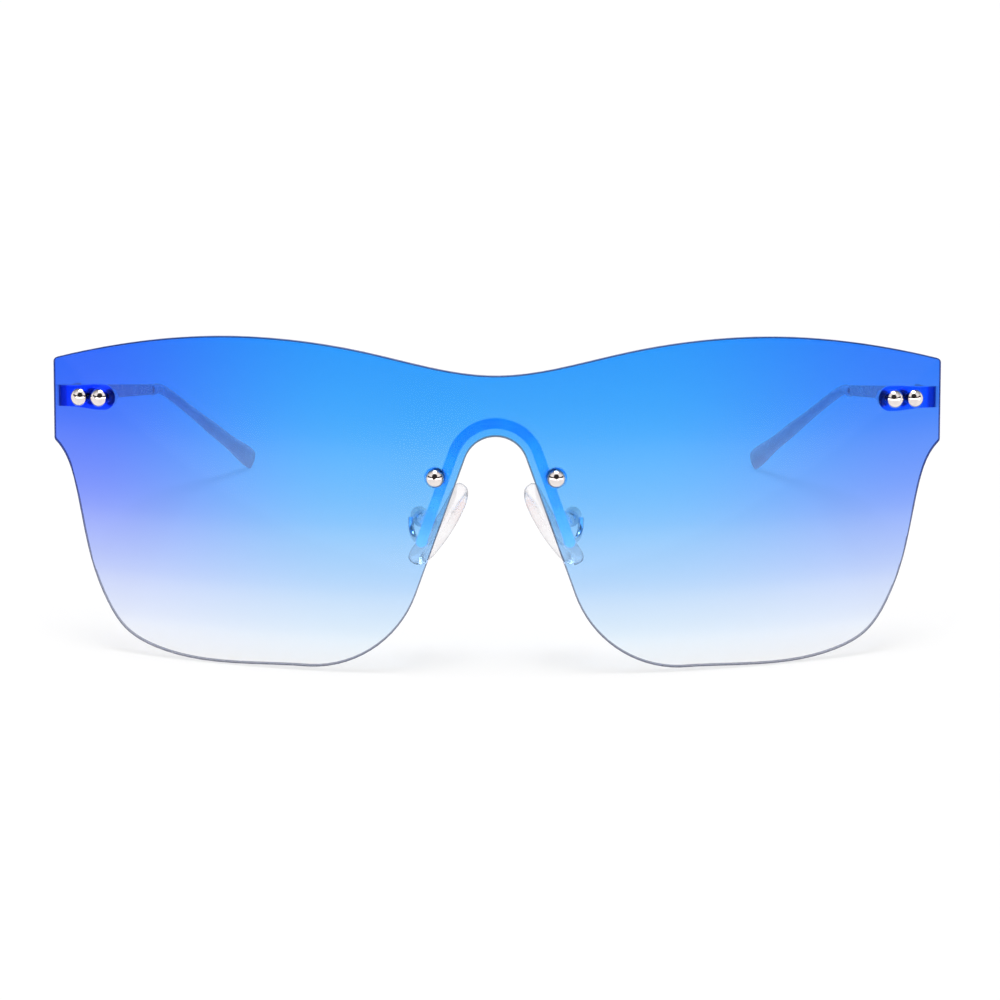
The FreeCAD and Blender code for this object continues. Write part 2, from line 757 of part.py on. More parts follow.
# Tip: an oval sleeve lofted along the ear bend, with a bore for the core wire

tip_sections = []
for number, shares in enumerate(zip(TIP_PLACE_SHARES, TIP_FLARE_SHARES, TIP_SIDE_SHARES)):
    place_share, flare_share, side_share = shares
    point, turn = along_ear(size.seat_gap + (tip_length - size.seat_gap) * place_share)
    way = core_plane.Rotation.multVec(Vector(cos(turn), sin(turn), 0))
    upright = (AXIS_Z - way * AXIS_Z.dot(way)).normalize()
    section = doc.addObject("Part::Ellipse", f"tip_section_{number}")
    flare = f"Size.tip_neck_radius + (Size.tip_flare_radius - Size.tip_neck_radius) * {flare_share}"
    section.setExpression("MajorRadius", flare)
    section.setExpression("MinorRadius", f"Size.tip_side_radius * {side_share}")
    turned_up = Rotation(upright, way.cross(upright), way, "XYZ")
    section.Placement = temple_place * Placement(core_plane.multVec(point), turned_up)
    placed.append((section, section.Placement))
    tip_sections.append(section)
tip_form = doc.addObject("Part::Loft", "tip_form")
tip_form.Sections = tip_sections
tip_form.Solid = True
tip_bore = new_body("tip_bore", temple_place)
ear_wire(tip_bore, "Size.core_radius + Size.running_clearance", core_length + size.seat_gap)
tip = doc.addObject("Part::Cut", "temple_tip_left")
tip.Label = "temple_tip_left"
tip.Base = tip_form
tip.Tool = tip_bore
doc.recompute()

# Bridge bar: an arch beside the nose cut-out, with an eyelet at each stud

bridge = new_body("bridge_bar")
bridge_front = new_sketch(bridge, "bridge_front", "XZ_Plane")
near = size.bridge_edge_offset
far = near + size.bridge_width
leg_run = leg_way * size.bridge_leg_length
bar_middle_foot = leg_top((near + far) / 2) + leg_run
bar_end_cap = flat(bar_middle_foot + leg_way * size.bridge_width / 2)
trace(
    bridge_front,
    flat(leg_top(near)),
    [flat(leg_top(near) + leg_run)],
    [bar_end_cap, flat(leg_top(far) + leg_run)],
    [flat(leg_top(far))],
    [arch_top(far), flip(flat(leg_top(far)))],
    [flip(flat(leg_top(far) + leg_run))],
    [flip(bar_end_cap), flip(flat(leg_top(near) + leg_run))],
    [flip(flat(leg_top(near)))],
    [arch_top(near), flat(leg_top(near))],
)
pad(bridge, bridge_front, "Size.lens_radius", backwards=True)
for name, side in (("left", 1), ("right", -1)):
    eyelet = new_sketch(bridge, f"eyelet_{name}", "XZ_Plane")
    eyelet_drop = "Size.lens_top_dip + Size.nose_web_height + Size.bridge_stud_drop"
    centre = (f"{side} * Size.bridge_stud_spacing / 2", f"Size.lens_height - ({eyelet_drop})")
    trace_circle(eyelet, centre, "Size.bridge_eyelet_radius")
    pad(bridge, eyelet, "Size.lens_radius", backwards=True)
bend_to_lens(bridge, plate_front, size.bridge_thickness)
for name, place in (("left", nose_station), ("right", right_stations[-1])):
    hole_depth = "4 * (Size.lens_thickness + Size.bridge_thickness)"
    drill(bridge, f"bridge_hole_{name}", place, shank_hole, hole_depth)

# Pad clasp: its own Y is the screw's axis, its -X looks at the nose and its Z runs up the pad

pivot = Vector(size.pad_pivot_spacing / 2, size.pad_pivot_depth, pad_pivot_height)
pad_turn = Rotation(AXIS_Y, -size.pad_lean) * Rotation(AXIS_Z, -size.pad_splay)
pad_place = Placement(pivot, pad_turn)
clasp_gap_half = "Size.tab_thickness / 2 + Size.running_clearance"
clasp_width = "Size.tab_thickness + 2 * (Size.running_clearance + Size.clasp_plate)"

pad_arm = new_body("pad_arm_left", pad_place)
clasp_side = new_sketch(pad_arm, "clasp_side", "XZ_Plane")
trace_circle(clasp_side, (0, 0), "Size.clasp_radius")
pad(pad_arm, clasp_side, clasp_width, both_ways=True)
clasp_slot = new_sketch(pad_arm, "clasp_slot", "XY_Plane")
slot_start = -size.clasp_radius - size.overrun
trace_box(clasp_slot, (slot_start, f"-({clasp_gap_half})"), (0, clasp_gap_half))
pocket(pad_arm, clasp_slot)
tab_room = "Size.tab_radius + Size.fold_clearance"
drill(pad_arm, "clasp_room", Placement(), tab_room, f"2 * ({clasp_gap_half})")
clasp_bore = "Size.clasp_screw_radius + Size.running_clearance"
drill(pad_arm, "clasp_bore", Placement(), clasp_bore, f"2 * ({clasp_width})")

# The arm's wire leaves a foot on the bridge bar's leg, runs back and turns up to the clasp
foot_turn = asin(bar_middle_foot.x / size.lens_radius)
foot_depth = plate_front + size.bridge_thickness + size.seat_gap
foot_place = station(foot_turn, bar_middle_foot.y, foot_depth)
foot = pad_arm.newObject("PartDesign::AdditiveCylinder", "arm_foot")
foot.setExpression("Radius", "Size.arm_foot_radius")
foot.setExpression("Height", "Size.arm_foot_thickness")
foot.Placement = pad_place.inverse() * foot_place * Placement(Vector(), Rotation(AXIS_X, -90))
wire_start = foot_place.multVec(AXIS_Y * size.arm_foot_thickness / 2)
lean_turn = radians(size.pad_lean)
wire_reach = size.tab_radius + size.fold_clearance + size.arm_wire_radius
wire_end = pad_place.multVec(Vector(cos(lean_turn), 0, -sin(lean_turn)) * wire_reach)
run = Vector(wire_end.x - wire_start.x, wire_end.y - wire_start.y, 0)
run_way = Vector(run).normalize()
rise = wire_end.z - wire_start.z
wire_plane = Placement(wire_start, Rotation(run_way, AXIS_Z, run_way.cross(AXIS_Z), "XYZ"))
arm_path = new_sketch(pad_arm, "arm_path", "XY_Plane", pad_place.inverse() * wire_plane)
arm_bend = size.arm_bend_radius
bend_middle = (run.Length - arm_bend * (1 - sin(pi / 4)), arm_bend * (1 - cos(pi / 4)))
trace(
    arm_path,
    (0, 0),
    [(run.Length - arm_bend, 0)],
    [bend_middle, (run.Length, arm_bend)],
    [(run.Length, rise)],
    closed=False,
)
wire_front = Placement(wire_start, Rotation(AXIS_Z, run_way.cross(AXIS_Z) * -1, run_way, "XYZ"))
arm_section = new_sketch(pad_arm, "arm_section", "XY_Plane", pad_place.inverse() * wire_front)
trace_circle(arm_section, (0, 0), "Size.arm_wire_radius")
doc.recompute()
arm_wire = pad_arm.newObject("PartDesign::AdditivePipe", "arm_wire")
arm_wire.Profile = arm_section
arm_wire.Spine = (arm_path, ["Edge1", "Edge2", "Edge3"])
doc.recompute()

clasp_screw = slotted_screw(
    "pad_screw_left",
    pad_place * Placement(AXIS_Y * -(coordinate(pad_arm, clasp_width) / 2 + size.seat_gap), Rotation()),
    "Size.clasp_screw_radius",
    clasp_width,
    "Size.clasp_head_radius",
    "Size.clasp_head_height",
)

# Nose pad: an egg-shaped silicone pad, crowned towards the nose, with a recess for its core

nose_pad = new_body("nose_pad_left", pad_place)
pad_outline = new_sketch(nose_pad, "pad_outline", "YZ_Plane")
low_z = size.pad_rise + size.pad_low_radius - size.pad_length / 2
high_z = size.pad_rise + size.pad_length / 2 - size.pad_high_radius
side_lift = (size.pad_low_radius - size.pad_high_radius) / (high_z - low_z)
side_reach = sqrt(1 - side_lift**2)
low_side = (size.pad_low_radius * side_reach, low_z + size.pad_low_radius * side_lift)
high_side = (size.pad_high_radius * side_reach, high_z + size.pad_high_radius * side_lift)
trace(
    pad_outline,
    low_side,
    [high_side],
    [(0, "Size.pad_rise + Size.pad_length / 2"), flip(high_side)],
    [flip(low_side)],
    [(0, "Size.pad_rise - Size.pad_length / 2"), low_side],
)
pad_reach = "2 * (Size.pad_standoff + Size.pad_thickness + Size.overrun)"
pad(nose_pad, pad_outline, pad_reach, both_ways=True)
crown = new_sketch(nose_pad, "crown", "XZ_Plane")
crown_reach = size.pad_length / 2 + size.overrun
front_x = -size.pad_standoff - size.pad_thickness
back_x = -size.pad_standoff
crown_back_radius = size.pad_crown_radius - size.pad_thickness
front_sag = front_x + size.pad_crown_radius - sqrt(size.pad_crown_radius**2 - crown_reach**2)
back_sag = back_x + crown_back_radius - sqrt(crown_back_radius**2 - crown_reach**2)
crown_low = size.pad_rise - crown_reach
crown_high = size.pad_rise + crown_reach
trace(
    crown,
    (front_sag, crown_low),
    [(front_x, size.pad_rise), (front_sag, crown_high)],
    [(back_sag, crown_high)],
    [(back_x, size.pad_rise), (back_sag, crown_low)],
    [(front_sag, crown_low)],
)
crown_side = coordinate(crown, pad_reach)
trace_box(crown, (-crown_side, crown_low - size.overrun), (crown_side, crown_high + size.overrun))
pocket(nose_pad, crown)
dress(nose_pad, "Fillet", "pad_rounds", lambda edge: True, "Radius", "Size.pad_round")


def trace_core(sketch, grow):
    """Draws the core's outline, a slot along the pad, larger by a clearance."""
    end = f"Size.pad_core_width / 2 + {grow}"
    straight = "(Size.pad_core_length - Size.pad_core_width) / 2"
    top = (0, f"{straight} + {end}")
    foot = (0, f"-({straight} + {end})")
    right = (end, straight)
    right_low = (end, f"-{straight}")
    trace(sketch, right_low, [right], [top, flip(right)], [flip(right_low)], [foot, right_low])
    return sketch


recess_place = Placement(AXIS_Z * (back_x - size.pad_core_thickness - size.seat_gap), Rotation())
recess = new_sketch(nose_pad, "recess", "YZ_Plane", recess_place)
trace_core(recess, "Size.seat_gap")
pocket(nose_pad, recess, "Size.pad_standoff", backwards=True)

core = new_body("pad_core_left", pad_place)
plate_place = Placement(AXIS_Z * (back_x - size.pad_core_thickness), Rotation())
core_plate = new_sketch(core, "core_plate", "YZ_Plane", plate_place)
trace_core(core_plate, "0")
pad(core, core_plate, "Size.pad_core_thickness")
tab_side = new_sketch(core, "tab_side", "XZ_Plane")
tab = "Size.tab_radius"
tab_root = f"{back_x} - Size.pad_core_thickness / 2"
trace(
    tab_side,
    (0, f"-{tab}"),
    [(tab, 0), (0, tab)],
    [(tab_root, tab)],
    [(tab_root, f"-{tab}")],
    [(0, f"-{tab}")],
)
pad(core, tab_side, "Size.tab_thickness", both_ways=True)
drill(core, "tab_bore", Placement(), clasp_bore, "2 * Size.tab_thickness")

# The right-hand side, and like fasteners under one name

left_groups = {
    "end_studs": end_studs,
    "end_bushes": end_bushes,
    "end_nuts": end_nuts,
}
nodes = [lens, bridge]
for label, pieces in left_groups.items():
    group = gather(label + "_left", *pieces)
    nodes += [group, opposite(label + "_right", group)]
for label, piece in (("bridge_studs", nose_stud), ("bridge_bushes", nose_bush), ("bridge_nuts", nose_nut)):
    nodes.append(gather(label, piece, opposite(label + "_far", piece)))
for piece in (
    endpiece,
    front_hinge,
    hinge_screw,
    temple_hinge,
    temple,
    tip,
    pad_arm,
    clasp_screw,
    nose_pad,
    core,
):
    nodes += [piece, opposite(piece.Label.replace("left", "right"), piece)]
doc.recompute()

# The glasses lean back until the tips come down to the level of the lens lobes

lean_points = [shape.tessellate(size.seat_gap)[0] for shape in (lens.Shape, tip.Shape)]


def lowest(points, lean):
    return min(point.z * cos(lean) - point.y * sin(lean) for point in points)


too_little, too_much = 0.0, pi / 6
for halving in range(40):
    lean = (too_little + too_much) / 2
    tips_above = lowest(lean_points[1], lean) > lowest(lean_points[0], lean)
    too_little, too_much = (lean, too_much) if tips_above else (too_little, lean)
leaning = Placement(Vector(), Rotation(AXIS_X, -degrees(lean)))
upright_glasses = Part.makeCompound([node.Shape for node in nodes])
box = upright_glasses.transformed(leaning.toMatrix()).optimalBoundingBox(False)
stand = Placement(Vector(0, -(box.YMin + box.YMax) / 2, -box.ZMin), Rotation()) * leaning
for piece, place in placed:
    piece.Placement = stand * place
doc.recompute()

# Every piece is tested before any is written

for item in doc.Objects:
    assert not {"Invalid", "Error"} & set(item.State), item.Label
for node in nodes:
    assert not node.Shape.isNull() and node.Shape.isValid(), node.Label
    assert node.Shape.Solids, node.Label
os.makedirs("parts", exist_ok=True)
for node in nodes:
    node.Shape.exportStep(f"parts/{node.Label}.step")


def told(vector):
    return [round(value, 4) for value in vector]


print("nodes", len(nodes), "lean", round(degrees(lean), 3))
print("hinge axis at", told(stand.multVec(hinge_place.Base)), "along", told(stand.Rotation.multVec(AXIS_Z)))
pad_axis = stand.Rotation.multVec(pad_turn.multVec(AXIS_Y))
print("pad axis at", told(stand.multVec(pivot)), "along", told(pad_axis))
print("tip end at", told(stand.multVec(temple_place.multVec(core_plane.multVec(along_ear(tip_length)[0])))))
whole = Part.makeCompound([node.Shape for node in nodes]).optimalBoundingBox(False)
print("size", told((whole.XLength, whole.YLength, whole.ZLength)), "floor", round(whole.ZMin, 4))
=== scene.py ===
# %% [markdown]
# # Shield sunglasses
# One bent sheet of tinted lens, held by six domed studs, with wire-thin metal behind it.
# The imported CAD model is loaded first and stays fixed. It brings the metal, the screws and the joints.
# This lesson then gives every surface its finish, and models again the pieces that need a better mesh:
# the lens, because its curve has to be very smooth, and the soft nose pads.

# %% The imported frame
import json
from math import atan2, cos, degrees, pi, radians, sin

import bpy
from mathutils import Matrix, Vector

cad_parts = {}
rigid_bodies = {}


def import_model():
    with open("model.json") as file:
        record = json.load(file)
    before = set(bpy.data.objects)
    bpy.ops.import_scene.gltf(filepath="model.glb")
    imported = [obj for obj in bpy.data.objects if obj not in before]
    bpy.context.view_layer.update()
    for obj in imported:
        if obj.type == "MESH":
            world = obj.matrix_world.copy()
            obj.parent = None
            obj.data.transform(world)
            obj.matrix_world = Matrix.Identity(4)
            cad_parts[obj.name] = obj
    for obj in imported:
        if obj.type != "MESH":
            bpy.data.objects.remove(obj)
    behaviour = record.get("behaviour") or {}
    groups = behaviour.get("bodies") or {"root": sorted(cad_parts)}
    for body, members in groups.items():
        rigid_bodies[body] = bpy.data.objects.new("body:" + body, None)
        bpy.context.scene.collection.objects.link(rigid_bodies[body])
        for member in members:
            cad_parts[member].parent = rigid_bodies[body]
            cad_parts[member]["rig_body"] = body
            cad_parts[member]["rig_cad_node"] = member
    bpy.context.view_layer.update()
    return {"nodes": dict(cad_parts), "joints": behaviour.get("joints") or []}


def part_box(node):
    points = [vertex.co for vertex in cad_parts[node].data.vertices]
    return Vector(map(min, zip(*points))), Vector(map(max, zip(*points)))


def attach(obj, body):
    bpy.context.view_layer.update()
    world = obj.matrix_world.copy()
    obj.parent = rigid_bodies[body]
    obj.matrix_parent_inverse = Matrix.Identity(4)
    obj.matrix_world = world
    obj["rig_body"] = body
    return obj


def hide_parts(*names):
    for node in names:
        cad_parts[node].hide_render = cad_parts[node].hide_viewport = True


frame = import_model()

MM = 0.001
PER_MM = 1 / MM

nodes = frame["nodes"]

# %% [markdown]
# ## Camera
# The photograph looks at the lens from the front and a little above, from about half a metre.
# A long lens keeps the two sides of the front equally large, as a product photograph does. The place was
# fitted to the stud heads and the outline, because it could not be guessed well enough by eye.

# %% Camera
CAMERA_PLACE = (0.00486, -0.57875, 0.1472)
CAMERA_PITCH = radians(13.253)
CAMERA_YAW = radians(0.47)
CAMERA_LENS = 115.5
CAMERA_SENSOR = 36.0

camera_data = bpy.data.cameras.new("camera")
camera_data.sensor_width = CAMERA_SENSOR
camera_data.lens = CAMERA_LENS
camera = bpy.data.objects.new("camera", camera_data)
camera.location = CAMERA_PLACE
camera.rotation_euler = (pi / 2 - CAMERA_PITCH, 0, CAMERA_YAW)
scene = bpy.context.scene
scene.collection.objects.link(camera)
scene.camera = camera
scene.view_settings.view_transform = "Standard"
print("camera looks down by", round(degrees(CAMERA_PITCH), 2), "degrees")

# %% [markdown]
# ## Node maths
# A finish is a sum of patterns. Dragging dozens of Math nodes by hand is slow to read, so one small class
# wraps a socket, and Python's own signs add the nodes. A method makes any other node from its type, its
# settings and its sockets.


# %% Node maths
class Flow:
    """A value on its way through a material."""

    def __init__(self, tree, socket):
        self.tree = tree
        self.socket = socket

    def node(self, kind, settings, sockets, out=0):
        """Adds a node of a kind, sets it up and returns one of its outputs."""
        made = self.tree.nodes.new(kind)
        for name, value in settings.items():
            if name == "stops":
                lay_stops(made.color_ramp, value)
            else:
                setattr(made, name, value)
        for name, value in sockets.items():
            join(self.tree, value, made.inputs[name])
        return Flow(self.tree, made.outputs[out])

    def maths(self, operation, first, second):
        return self.node("ShaderNodeMath", {"operation": operation}, {0: first, 1: second})

    def __add__(self, other):
        return self.maths("ADD", self, other)

    def __radd__(self, other):
        return self.maths("ADD", other, self)

    def __sub__(self, other):
        return self.maths("SUBTRACT", self, other)

    def __rsub__(self, other):
        return self.maths("SUBTRACT", other, self)

    def __mul__(self, other):
        return self.maths("MULTIPLY", self, other)

    def __rmul__(self, other):
        return self.maths("MULTIPLY", other, self)

    def size(self):
        return self.maths("ABSOLUTE", self, 0.0)

    def or_more(self, other):
        """The larger of two values."""
        return self.maths("MAXIMUM", self, other)

    def along(self, axis):
        """One coordinate of a place or a direction: X, Y or Z."""
        return self.node("ShaderNodeSeparateXYZ", {}, {0: self}, out=axis)

    def towards(self, direction):
        """How far this direction agrees with another: 1 is the same, 0 is across it."""
        settings = {"operation": "DOT_PRODUCT"}
        return self.node("ShaderNodeVectorMath", settings, {0: self, 1: direction}, out="Value")

    def apart_from(self, point):
        """How far a place is from a point."""
        settings = {"operation": "DISTANCE"}
        return self.node("ShaderNodeVectorMath", settings, {0: self, 1: point}, out="Value")

    def fade(self, low, high):
        """0 below low and 1 above high, with a smooth change between them."""
        settings = {"interpolation_type": "SMOOTHSTEP"}
        return self.node("ShaderNodeMapRange", settings, {0: self, 1: low, 2: high})

    def noise(self, scale, detail=2.0):
        return self.node("ShaderNodeTexNoise", {}, {"Vector": self, "Scale": scale, "Detail": detail})

    def stretched(self, scale):
        """The same place with its axes scaled, so that a pattern runs long one way."""
        return self.node("ShaderNodeMapping", {}, {"Vector": self, "Scale": scale})

    def ramp(self, stops):
        """The colour at this value on a ramp."""
        return self.node("ShaderNodeValToRGB", {"stops": stops}, {0: self})

    def blend(self, low, high):
        """The colour between two, by this value."""
        settings = {"data_type": "RGBA"}
        return self.node("ShaderNodeMix", settings, {0: self, 6: low, 7: high}, out=2)

    def bump(self, distance, strength):
        return self.node("ShaderNodeBump", {}, {"Height": self, "Distance": distance, "Strength": strength})


def lay_stops(ramp, stops):
    """Sets a colour ramp's stops from places and colours. A new ramp already has two stops."""
    ramp.interpolation = "CARDINAL"
    for number, (position, shade) in enumerate(stops):
        stop = ramp.elements[number] if number < 2 else ramp.elements.new(position)
        stop.position = position
        stop.color = shade


def join(tree, value, socket):
    """Links a flow to a socket, or sets the socket to a plain value."""
    if isinstance(value, Flow):
        tree.links.new(value.socket, socket)
    else:
        socket.default_value = value


# %% [markdown]
# ## Finishes
# Each finish is a Principled material: what is the same all over is set on its sockets, and what varies is
# fed to them. Three helpers follow: one makes a finish, one reads a colour as a screen shows it, and one
# puts a finish on the CAD nodes. The grain of a noise is given per millimetre.

# %% Finishes
WHITE = (1.0, 1.0, 1.0, 1.0)


def finish(name, **constants):
    """A new Principled material. It returns the material, its place on the object and a way to feed it."""
    material = bpy.data.materials.new(name)
    material.use_nodes = True
    tree = material.node_tree
    shader = tree.nodes["Principled BSDF"]
    for socket, value in constants.items():
        shader.inputs[socket.replace("_", " ")].default_value = value
    place = Flow(tree, tree.nodes.new("ShaderNodeTexCoord").outputs["Object"])

    def feed(socket, value):
        join(tree, value, shader.inputs[socket])

    return material, place, feed


def colour(red, green, blue):
    """A colour as it looks on a screen, from 0 to 255, as amounts of light, by the sRGB curve."""
    def light(value):
        share = value / 255
        return share / 12.92 if share <= 0.04045 else ((share + 0.055) / 1.055) ** 2.4

    return light(red), light(green), light(blue), 1.0


def dress(material, slot_name, *names):
    """Gives a finish to CAD nodes by name, on both sides where a name has a left and a right."""
    for name in names:
        for node in [n for n in nodes if n in (name, name + "_left", name + "_right")]:
            nodes[node].data.materials.clear()
            nodes[node].data.materials.append(material)
    print(material.name, "on", ", ".join(names))


# %% [markdown]
# ## Lens
# The real lens is cut from a sheet that was bent round a drum, so its two faces are parts of cylinders
# about one axis. The axis leans with the glasses, by the angle that the CAD hinges lean.
# A few helpers come first: each selects one piece alone, because an operator acts on all that is selected.

# %% Lens sizes and helpers
LENS_RADIUS = 150 * MM
LENS_THICKNESS = 2 * MM

lens_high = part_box("shield_lens")[1]
hinge_axis = Vector(frame["joints"][0]["axis"])
lean = atan2(hinge_axis.y, hinge_axis.z)


def leave_selection():
    bpy.ops.object.select_all(action="DESELECT")


def pick(piece):
    leave_selection()
    piece.hide_set(False)
    piece.select_set(True)
    bpy.context.view_layer.objects.active = piece


def in_edit_mode(piece, mode="FACE"):
    pick(piece)
    bpy.ops.object.mode_set(mode="EDIT")
    bpy.ops.mesh.select_mode(type=mode)
    bpy.ops.mesh.select_all(action="DESELECT")


def out_of_edit_mode():
    bpy.ops.object.mode_set(mode="OBJECT")


def slice_all(point, normal):
    """Cuts the whole mesh that is in edit mode by a plane, and keeps both sides."""
    bpy.ops.mesh.select_all(action="SELECT")
    bpy.ops.mesh.bisect(plane_co=point, plane_no=normal)


print("lean", round(degrees(lean), 3), "degrees")

# %% [markdown]
# The CAD sheet already has the right outline, bevels and holes, but its curve is in flats a few
# millimetres wide. A grid could be bent and cut to the outline again, but that would lose the drilled
# holes. So a copy of the sheet is stood upright, with the drum's axis on Z, and its loose triangles are
# merged.

# %% Lens copy
JOIN_GAP = 0.001 * MM

lens = nodes["shield_lens"].copy()
lens.data = lens.data.copy()
lens.name = "tinted_lens"
lens.parent = None
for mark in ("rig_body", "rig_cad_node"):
    del lens[mark]
scene.collection.objects.link(lens)
lens.data.transform(Matrix.Rotation(lean, 4, "X"))
front_most = min(point.co.y for point in lens.data.vertices)
lowest = min(point.co.z for point in lens.data.vertices)
drum_foot = Vector((0, front_most + LENS_RADIUS, lowest))
lens.data.transform(Matrix.Translation(-drum_foot))
stand = Matrix.Rotation(-lean, 4, "X") @ Matrix.Translation(drum_foot)
in_edit_mode(lens)
bpy.ops.mesh.select_all(action="SELECT")
bpy.ops.mesh.remove_doubles(threshold=JOIN_GAP)
bpy.ops.mesh.customdata_custom_splitnormals_clear()
out_of_edit_mode()
print("lens points", len(lens.data.vertices))

# %% [markdown]
# Next the copy is sliced by planes through the drum's axis, every half degree, and the new points are
# pushed out to the drum. This keeps the outline that the lens cutter would follow, and no reflection shows
# a kink.

# %% Lens sheet
SLICE_TURN = radians(0.5)
SKIN = 0.05 * MM
FLAT_REACH = LENS_RADIUS * cos(pi / 6)

in_edit_mode(lens)
half_turn = atan2(lens_high.x, FLAT_REACH)
cuts = int(2 * half_turn / SLICE_TURN)
for number in range(cuts):
    turn = -half_turn + SLICE_TURN * (number + 0.5)
    slice_all((0, 0, 0), (cos(turn), sin(turn), 0))
out_of_edit_mode()
for point in lens.data.vertices:
    reach = Vector((point.co.x, point.co.y, 0)).length
    for face_radius in (LENS_RADIUS, LENS_RADIUS - LENS_THICKNESS):
        if abs(reach - face_radius) < SKIN:
            point.co.x *= face_radius / reach
            point.co.y *= face_radius / reach
print("lens faces", len(lens.data.polygons), "cuts", cuts)

# %% [markdown]
# The faces of the sheet and its cut edge get different finishes. A face whose normal points to or from the
# drum's axis is part of the sheet, and all others are edge. Their numbers are kept for later.

# %% Lens faces and edge
EDGE_TURN = pi / 9
SHARP_TURN = pi / 6

edge_faces = []
for face in lens.data.polygons:
    outward = Vector((face.center.x, face.center.y, 0)).normalized()
    if abs(face.normal.dot(outward)) < cos(EDGE_TURN):
        edge_faces.append(face.index)
pick(lens)
bpy.ops.object.shade_smooth_by_angle(angle=SHARP_TURN)
lens.data.transform(stand)
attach(lens, "front")
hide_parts("shield_lens")
print("edge faces", len(edge_faces), "of", len(lens.data.polygons))

# %% [markdown]
# ## Lens tint
# The sheet is dip-dyed: it was lowered into the dye upside down and drawn out slowly, so the top is deep
# blue and the bottom almost clear. The dye lies a little thicker at the sides, where it turns to violet.
# Two colour ramps up the lens are blended from the middle to the sides: that follows the dip, which a
# noise could not. Light crosses the sheet's two faces, and the shader's colour is what is left after both.

# %% Lens tint
FLOOR_LIGHT = 1.045
LENS_BENDING = 1.1
SIDE_STARTS = 22 * MM
SIDE_FULL = 72 * MM
LEFT_SHARE = 0.72


def dye(red, green, blue):
    """What the sheet lets through, from the colour that the lit floor has when it is seen through it."""
    return tuple(light / FLOOR_LIGHT for light in colour(red, green, blue)[:3]) + (1.0,)


middle_dye = [
    (0.0, WHITE),
    (0.11, dye(231, 244, 255)),
    (0.25, dye(192, 222, 254)),
    (0.44, dye(141, 200, 254)),
    (0.69, dye(84, 177, 255)),
    (1.0, dye(36, 153, 254)),
]
side_dye = [
    (0.0, WHITE),
    (0.11, dye(234, 239, 255)),
    (0.25, dye(200, 211, 255)),
    (0.44, dye(147, 166, 255)),
    (0.69, dye(87, 126, 254)),
    (1.0, dye(40, 103, 252)),
]
tint, place, feed = finish("lens_tint", Transmission_Weight=1.0, Roughness=0.0, IOR=LENS_BENDING)
across = place.along("X")
dip = place.along("Z") * (1 / lens_high.z)
to_right_eye = (0.0 - across).fade(SIDE_STARTS, SIDE_FULL)
to_left_eye = across.fade(SIDE_STARTS, SIDE_FULL) * LEFT_SHARE
to_side = to_right_eye + to_left_eye
feed("Base Color", to_side.blend(dip.ramp(middle_dye), dip.ramp(side_dye)))
print("dye stops", len(middle_dye), "in the middle and", len(side_dye), "at the sides")

# %% [markdown]
# The cut edge of a tinted sheet looks dark, because light runs a long way through the dye before it comes
# out there. It is tumbled, not polished, so it is a little dull. Where the dye is thin, it is only grey.

# %% Lens edge
EDGE_GREY = (0.14, 0.15, 0.21, 1)
EDGE_NAVY = (0.010, 0.018, 0.11, 1)
SIDE_DIP = (0.15 * lens_high.z, 0.6 * lens_high.z)
TOP_DIP = (0.78 * lens_high.z, 0.84 * lens_high.z)
PAST_NOSE = (16 * MM, 28 * MM)

edge, place, feed = finish("lens_edge", Transmission_Weight=1.0, IOR=LENS_BENDING)
height = place.along("Z")
cutter_marks = place.stretched((1, 1, 40)).noise(0.9 * PER_MM)
at_side = height.fade(*SIDE_DIP) * place.along("X").size().fade(*PAST_NOSE)
edge_dye = at_side.or_more(height.fade(*TOP_DIP))
feed("Base Color", edge_dye.blend(EDGE_GREY, EDGE_NAVY))
feed("Roughness", 0.15 + cutter_marks * 0.2)
feed("Normal", cutter_marks.bump(0.02 * MM, 0.2))
lens.data.materials.clear()
lens.data.materials.append(tint)
lens.data.materials.append(edge)
for number in edge_faces:
    lens.data.polygons[number].material_index = 1
print("lens finishes", [material.name for material in lens.data.materials])

# %% [markdown]
# ## Nose pads
# Each pad is a drop of clear silicone moulded over a core. It could be sculpted from a ball, but its
# outline is known, so a flat disc is the start: its halves are moved apart into an egg, the upper one
# smaller.

# %% Nose pads
PAD_LENGTH = 15.4 * MM
PAD_LOW_RADIUS = 3.5 * MM
PAD_HIGH_RADIUS = 3.0 * MM
PAD_THICKNESS = 2.2 * MM
PAD_SIDES = 64


def mark_parts(piece, parts, mode, test):
    """Opens a piece in edit mode with those of its points or edges selected that pass a test."""
    in_edit_mode(piece, mode)
    out_of_edit_mode()
    for part in getattr(piece.data, parts):
        part.select = test(part)
    bpy.ops.object.mode_set(mode="EDIT")


leave_selection()
bpy.ops.mesh.primitive_cylinder_add(
    vertices=PAD_SIDES, radius=PAD_LOW_RADIUS, depth=PAD_THICKNESS, rotation=(0, pi / 2, 0)
)
pad = bpy.context.active_object
pad.name = "nose_pad_silicone_left"
bpy.ops.object.transform_apply(rotation=True)
high_share = PAD_HIGH_RADIUS / PAD_LOW_RADIUS
mark_parts(pad, "vertices", "VERT", lambda point: point.co.z > -SKIN)
bpy.ops.transform.resize(value=(1, high_share, high_share), center_override=(0, 0, 0))
bpy.ops.transform.translate(value=(0, 0, PAD_LENGTH / 2 - PAD_HIGH_RADIUS))
out_of_edit_mode()
mark_parts(pad, "vertices", "VERT", lambda point: point.co.z < -SKIN)
bpy.ops.transform.translate(value=(0, 0, PAD_LOW_RADIUS - PAD_LENGTH / 2))
out_of_edit_mode()
print("pad points", len(pad.data.vertices))

# %% [markdown]
# The rim of the egg is rounded, as a mould has no sharp corners, and the egg is sliced along and across so
# that it has points to bend by.

